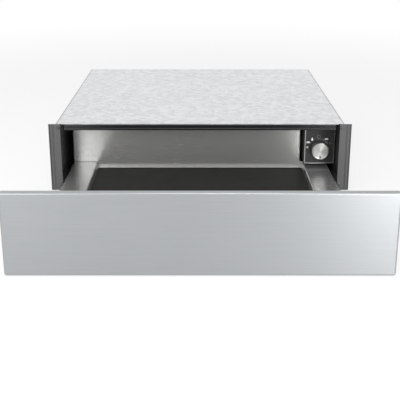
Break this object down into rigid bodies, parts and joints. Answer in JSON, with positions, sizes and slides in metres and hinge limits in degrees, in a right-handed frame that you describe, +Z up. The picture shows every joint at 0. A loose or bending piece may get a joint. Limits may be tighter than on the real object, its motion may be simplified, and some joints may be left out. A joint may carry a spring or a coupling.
{
  "type": "built-in warming drawer",
  "caption": "Push-to-open warming drawer on ball-bearing runners, with a steel front, shallow tray and a fixed inner control box with a turning knob.",
  "frame": {"origin": "centre of the casing's underside, on the surface that it stands on", "axes": "+X to the user's right, +Y towards the back, +Z up; the drawer pulls out along -Y"},
  "size_m": [0.597, 0.893, 0.137],
  "materials": {
    "front_steel": "fine horizontal brushing under a clear anti-fingerprint coat",
    "inner_steel": "dull rolled stainless sheet with round bends",
    "galvanised": "zinc-coated sheet with a faint spangle",
    "dark_enamel": "dark grey semi-matt enamel",
    "trim_grey": "grey satin coat over an extruded profile",
    "silicone": "matt charcoal silicone with a fine texture",
    "runner_steel": "bright zinc-plated roll-formed steel, lightly oiled",
    "cage_metal": "yellow-passivated strip with steel balls",
    "screw_steel": "zinc-plated fasteners",
    "trim_screw": "screw head coated like the trim",
    "fascia_black": "satin black moulded fascia",
    "border_grey": "light grey moulded border",
    "mark_white": "printed pale marks",
    "lamp": "milky lens, unlit",
    "knob_metal": "spun aluminium with a chamfered rim",
    "black_plastic": "black glass-filled nylon",
    "pale_plastic": "ivory thermoset",
    "white_plastic": "white acetal",
    "bronze": "sintered bronze",
    "copper": "drawn copper tube",
    "heater_steel": "oxidised heater sheath",
    "motor_steel": "varnished laminations and coil",
    "insulation": "pressed mineral wool board"
  },
  "bodies": {
    "casing": {"base_tray": "galvanised", "side_panel_left": "dark_enamel", "side_panel_right": "dark_enamel", "top_cover": "galvanised", "rear_panel": "galvanised", "partition": "galvanised", "top_rail": "dark_enamel", "trim_left": "trim_grey", "trim_right": "trim_grey", "trim_screws": "trim_screw", "rear_screws": "screw_steel", "runner_bracket_left": "runner_steel", "runner_bracket_right": "runner_steel", "runner_fixed_left": "runner_steel", "runner_fixed_right": "runner_steel", "bracket_rivets": "screw_steel", "latch_body": "black_plastic", "latch_spring": "screw_steel", "control_housing": "dark_enamel", "fascia": "fascia_black", "fascia_border": "border_grey", "dial_marks": "mark_white", "pilot_lamp": "lamp", "thermostat": "black_plastic", "thermostat_nut": "screw_steel", "sensor_bulb": "copper", "sensor_clips": "black_plastic", "fan_duct": "galvanised", "fan_bushes": "bronze", "fan_motor": "motor_steel", "heater_tube": "heater_steel", "heater_brackets": "galvanised", "thermal_cutout": "pale_plastic", "terminal_block": "pale_plastic", "cable_gland": "black_plastic", "wiring_loom": "black_plastic"},
    "drawer": {"tray_pan": "inner_steel", "back_wall": "inner_steel", "silicone_mat": "silicone", "front_skin": "front_steel", "front_insulation": "insulation", "front_liner": "inner_steel", "gusset_left": "inner_steel", "gusset_right": "inner_steel", "drawer_screws": "screw_steel", "latch_striker": "runner_steel", "runner_drawer_left": "runner_steel", "runner_drawer_right": "runner_steel", "lip_rivets": "screw_steel"},
    "runner_left": {"runner_mid_left": "runner_steel"},
    "runner_right": {"runner_mid_right": "runner_steel"},
    "cage_outer_left": {"ball_cage_outer_left": "cage_metal"},
    "cage_outer_right": {"ball_cage_outer_right": "cage_metal"},
    "cage_inner_left": {"ball_cage_inner_left": "cage_metal"},
    "cage_inner_right": {"ball_cage_inner_right": "cage_metal"},
    "plunger": {"latch_plunger": "white_plastic"},
    "knob": {"knob": "knob_metal", "spindle": "screw_steel"},
    "fan": {"fan_wheel": "galvanised", "fan_shaft": "screw_steel"}
  },
  "joints": [
    {"name": "drawer_slide", "type": "slide", "parent": "casing", "child": "drawer", "axis": [0, -1, 0], "range_m": [-0.352, 0]},
    {"name": "runner_left_slide", "type": "slide", "parent": "casing", "child": "runner_left", "axis": [0, -1, 0], "range_m": [-0.176, 0]},
    {"name": "runner_right_slide", "type": "slide", "parent": "casing", "child": "runner_right", "axis": [0, -1, 0], "range_m": [-0.176, 0]},
    {"name": "cage_outer_left_slide", "type": "slide", "parent": "casing", "child": "cage_outer_left", "axis": [0, -1, 0], "range_m": [-0.088, 0]},
    {"name": "cage_outer_right_slide", "type": "slide", "parent": "casing", "child": "cage_outer_right", "axis": [0, -1, 0], "range_m": [-0.088, 0]},
    {"name": "cage_inner_left_slide", "type": "slide", "parent": "casing", "child": "cage_inner_left", "axis": [0, -1, 0], "range_m": [-0.264, 0]},
    {"name": "cage_inner_right_slide", "type": "slide", "parent": "casing", "child": "cage_inner_right", "axis": [0, -1, 0], "range_m": [-0.264, 0]},
    {"name": "latch_push", "type": "slide", "parent": "casing", "child": "plunger", "axis": [0, 1, 0], "range_m": [0, 0.005], "stiffness_N_per_m": 600, "springref_m": -0.002, "deforming": ["latch_spring"]},
    {"name": "knob_turn", "type": "hinge", "parent": "casing", "child": "knob", "pos_m": [0.2447, -0.185, 0.0634], "axis": [0, 1, 0], "range_deg": [0, 240]},
    {"name": "fan_spin", "type": "hinge", "parent": "casing", "child": "fan", "pos_m": [-0.06, 0.236, 0.062], "axis": [1, 0, 0], "continuous": true}
  ],
  "couplings": [
    {"joint": "runner_left_slide", "follows": "drawer_slide", "ratio": 0.5},
    {"joint": "runner_right_slide", "follows": "drawer_slide", "ratio": 0.5},
    {"joint": "cage_outer_left_slide", "follows": "drawer_slide", "ratio": 0.25},
    {"joint": "cage_outer_right_slide", "follows": "drawer_slide", "ratio": 0.25},
    {"joint": "cage_inner_left_slide", "follows": "drawer_slide", "ratio": 0.75},
    {"joint": "cage_inner_right_slide", "follows": "drawer_slide", "ratio": 0.75}
  ]
}
